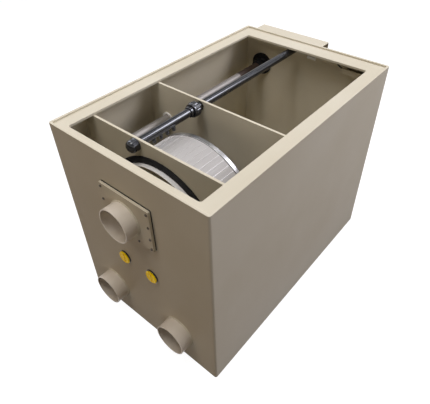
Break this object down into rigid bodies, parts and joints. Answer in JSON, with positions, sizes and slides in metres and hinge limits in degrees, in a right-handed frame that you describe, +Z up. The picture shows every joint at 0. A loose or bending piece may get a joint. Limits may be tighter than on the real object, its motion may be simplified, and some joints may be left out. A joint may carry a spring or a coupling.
{
  "type": "rotary drum filter",
  "caption": "Open welded plastic filter tank with a turning screen drum, spray bar, shaft drive, motor hood, low pipe stubs and a flanged waste outlet.",
  "frame": {"origin": "middle of the tank's flat underside", "axes": "+Z up, -Y to the front with the inlets and the waste outlet, +Y to the back with the motor hood, +X to the right seen from the front"},
  "size_m": [0.6, 1.06, 0.726],
  "materials": {
    "sheet": "welded grey-beige plastic sheet, satin",
    "pipe": "grey-beige pipe, satin",
    "black": "black pipe and fittings, half gloss",
    "rubber": "black rubber, dull",
    "yellow": "yellow moulded plastic, satin",
    "white": "white moulded plastic",
    "gear": "white engineering plastic",
    "steel": "stainless steel, polished or brushed",
    "screen": "fine stainless mesh between lengthwise ribs",
    "motor": "dark grey paint",
    "gearbox": "cast aluminium"
  },
  "bodies": {
    "tank": {"base_panel": "sheet", "front_panel": "sheet", "back_panel": "sheet", "left_panel": "sheet", "right_panel": "sheet", "rim_flange": "sheet", "front_partition": "sheet", "rear_partition": "sheet", "waste_plate": "sheet", "trough_end_plate": "sheet", "waste_trough": "sheet", "hood_rail_left": "sheet", "hood_rail_right": "sheet", "sensor_bracket": "sheet", "inlet_stub_left": "pipe", "inlet_stub_right": "pipe", "outlet_stub_left": "pipe", "outlet_stub_right": "pipe", "waste_stub": "pipe", "port_fitting_left": "black", "port_fitting_right": "black", "port_back_nut_left": "black", "port_back_nut_right": "black", "shaft_front_bearing": "black", "shaft_flange": "black", "supply_pipe": "black", "sensor_stem": "black", "sensor_lead": "black", "waste_gasket": "rubber", "drum_seal": "rubber", "supply_grommet": "rubber", "cable_clip": "white", "shaft_bush": "gear", "drum_axle": "steel", "axle_flange": "steel", "axle_nut": "steel", "motor": "motor", "motor_terminal_box": "motor", "gearbox": "gearbox"},
    "drum": {"drum_front_collar": "steel", "drum_gear_ring": "gear", "drum_screen": "screen", "drum_rear_band": "steel", "drum_rear_plate": "steel", "drum_hub": "black"},
    "drive": {"drive_shaft": "steel", "drive_pinion": "gear"},
    "spray_bar": {"spray_bar": "black", "spray_end_cap": "black", "union_collar": "black", "spray_nozzle_1": "black", "spray_nozzle_2": "black", "spray_nozzle_3": "black", "spray_nozzle_4": "black", "spray_nozzle_5": "black"},
    "union_nut": {"union_nut": "black"},
    "port_cap_left": {"port_cap_left": "yellow"},
    "port_cap_right": {"port_cap_right": "yellow"},
    "motor_hood": {"motor_hood": "sheet"},
    "float": {"sensor_float": "white"}
  },
  "joints": [
    {"name": "drum_spin", "type": "hinge", "parent": "tank", "child": "drum", "pos_m": [0.02, 0, 0.45], "axis": [0, 1, 0], "continuous": true},
    {"name": "drive_shaft_spin", "type": "hinge", "parent": "tank", "child": "drive", "pos_m": [-0.216, 0, 0.59], "axis": [0, 1, 0], "continuous": true},
    {"name": "spray_bar_swivel", "type": "hinge", "parent": "tank", "child": "spray_bar", "pos_m": [-0.064, 0, 0.694], "axis": [0, 1, 0], "range_deg": [-10, 10]},
    {"name": "union_nut_turn", "type": "hinge", "parent": "tank", "child": "union_nut", "pos_m": [-0.064, 0, 0.694], "axis": [0, 1, 0], "continuous": true},
    {"name": "port_cap_left_pull", "type": "slide", "parent": "tank", "child": "port_cap_left", "axis": [0, -1, 0], "range_m": [0, 0.03]},
    {"name": "port_cap_right_pull", "type": "slide", "parent": "tank", "child": "port_cap_right", "axis": [0, -1, 0], "range_m": [0, 0.03]},
    {"name": "motor_hood_lift", "type": "slide", "parent": "tank", "child": "motor_hood", "axis": [0, 0, 1], "range_m": [0, 0.22]},
    {"name": "float_slide", "type": "slide", "parent": "tank", "child": "float", "axis": [0, 0, 1], "range_m": [0, 0.05]}
  ],
  "couplings": [
    {"joint": "drive_shaft_spin", "follows": "drum_spin", "ratio": -4}
  ]
}
